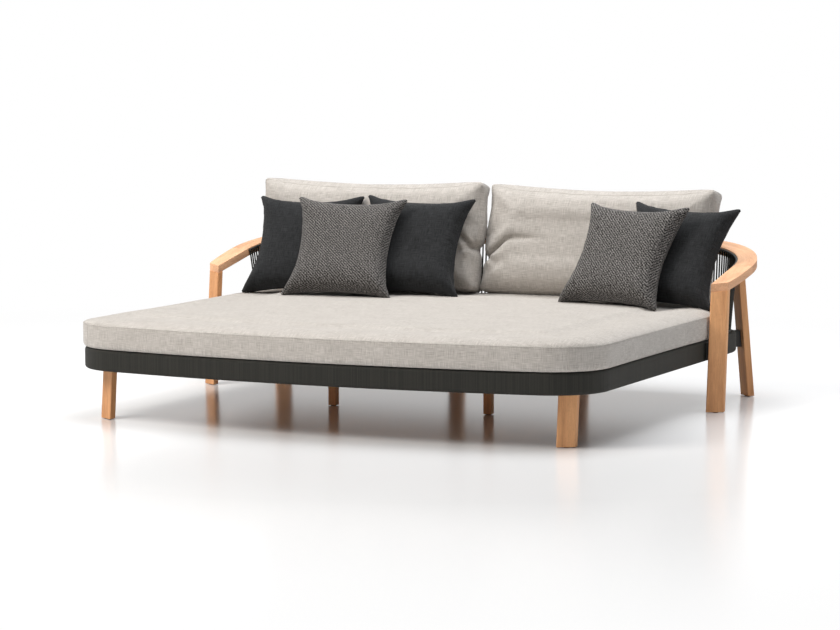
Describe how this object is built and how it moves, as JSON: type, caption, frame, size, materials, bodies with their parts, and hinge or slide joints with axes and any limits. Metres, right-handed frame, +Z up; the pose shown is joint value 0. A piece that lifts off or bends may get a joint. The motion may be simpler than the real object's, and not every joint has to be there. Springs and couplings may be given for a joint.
{
  "type": "daybed",
  "caption": "Low outdoor daybed: cord-wrapped platform on raked wooden legs, rising wooden rail with strung cord back, mattress, back cushions and throw pillows",
  "frame": {"origin": "on the floor under the middle of the whole piece", "axes": "+X along the width, to the right seen from the front; +Y from the front to the back; +Z up"},
  "size_m": [2.48, 2.1678, 0.9083],
  "materials": {
    "teak": "oiled, fine grain along the length",
    "cord": "tightly laid outdoor cord",
    "dark_metal": "matt powder coat",
    "steel": "plain",
    "glide_plastic": "matt",
    "pale_fabric": "plain woven outdoor fabric",
    "charcoal_fabric": "plain woven outdoor fabric",
    "grey_fabric": "twill weave of light and dark threads"
  },
  "bodies": {
    "frame": {"back_cords": "cord", "back_ledge": "dark_metal", "back_left_corner_wrap": "cord", "back_lower_cord_bar": "dark_metal", "back_rail": "teak", "back_right_corner_wrap": "cord", "back_upper_cord_bar": "dark_metal", "back_wrap": "cord", "bracket_bolts": "steel", "deck_slats": "teak", "foot_glides": "glide_plastic", "front_ledge": "dark_metal", "front_left_corner_wrap": "cord", "front_right_corner_wrap": "cord", "front_wrap": "cord", "left_arm_bracket": "dark_metal", "left_arm_post": "teak", "left_arm_rail": "teak", "left_back_bracket": "dark_metal", "left_back_leg": "teak", "left_corner_cords": "cord", "left_corner_rail": "teak", "left_front_leg": "teak", "left_front_leg_plate": "dark_metal", "left_lower_cord_bar": "dark_metal", "left_rear_corner_bracket": "dark_metal", "left_rear_corner_leg": "teak", "left_support_leg": "teak", "left_upper_cord_bar": "dark_metal", "left_wrap": "cord", "middle_beam": "dark_metal", "rail_dowels": "teak", "rear_beam": "dark_metal", "right_arm_bracket": "dark_metal", "right_arm_post": "teak", "right_arm_rail": "teak", "right_back_bracket": "dark_metal", "right_back_leg": "teak", "right_corner_cords": "cord", "right_corner_rail": "teak", "right_front_leg": "teak", "right_front_leg_plate": "dark_metal", "right_lower_cord_bar": "dark_metal", "right_rear_corner_bracket": "dark_metal", "right_rear_corner_leg": "teak", "right_support_leg": "teak", "right_upper_cord_bar": "dark_metal", "right_wrap": "cord", "seat_frame_tube": "dark_metal"},
    "mattress_body": {"mattress": "pale_fabric"},
    "left_back_cushion_body": {"left_back_cushion": "pale_fabric"},
    "right_back_cushion_body": {"right_back_cushion": "pale_fabric"},
    "left_dark_pillow_body": {"left_dark_pillow": "charcoal_fabric"},
    "middle_dark_pillow_body": {"middle_dark_pillow": "charcoal_fabric"},
    "left_grey_pillow_body": {"left_grey_pillow": "grey_fabric"},
    "right_dark_pillow_body": {"right_dark_pillow": "charcoal_fabric"},
    "right_grey_pillow_body": {"right_grey_pillow": "grey_fabric"}
  },
  "joints": [
    {"name": "mattress_lift", "type": "slide", "parent": "frame", "child": "mattress_body", "axis": [0, 0, 1], "range_m": [0, 0.4]},
    {"name": "left_back_cushion_lift", "type": "slide", "parent": "mattress_body", "child": "left_back_cushion_body", "axis": [0, 0, 1], "range_m": [0, 0.5]},
    {"name": "right_back_cushion_lift", "type": "slide", "parent": "mattress_body", "child": "right_back_cushion_body", "axis": [0, 0, 1], "range_m": [0, 0.5]},
    {"name": "left_dark_pillow_lift", "type": "slide", "parent": "left_back_cushion_body", "child": "left_dark_pillow_body", "axis": [0, 0, 1], "range_m": [0, 0.45]},
    {"name": "middle_dark_pillow_lift", "type": "slide", "parent": "left_dark_pillow_body", "child": "middle_dark_pillow_body", "axis": [0, 0, 1], "range_m": [0, 0.45]},
    {"name": "left_grey_pillow_lift", "type": "slide", "parent": "middle_dark_pillow_body", "child": "left_grey_pillow_body", "axis": [0, 0, 1], "range_m": [0, 0.45]},
    {"name": "right_dark_pillow_lift", "type": "slide", "parent": "right_back_cushion_body", "child": "right_dark_pillow_body", "axis": [0, 0, 1], "range_m": [0, 0.45]},
    {"name": "right_grey_pillow_lift", "type": "slide", "parent": "right_dark_pillow_body", "child": "right_grey_pillow_body", "axis": [0, 0, 1], "range_m": [0, 0.45]}
  ]
}
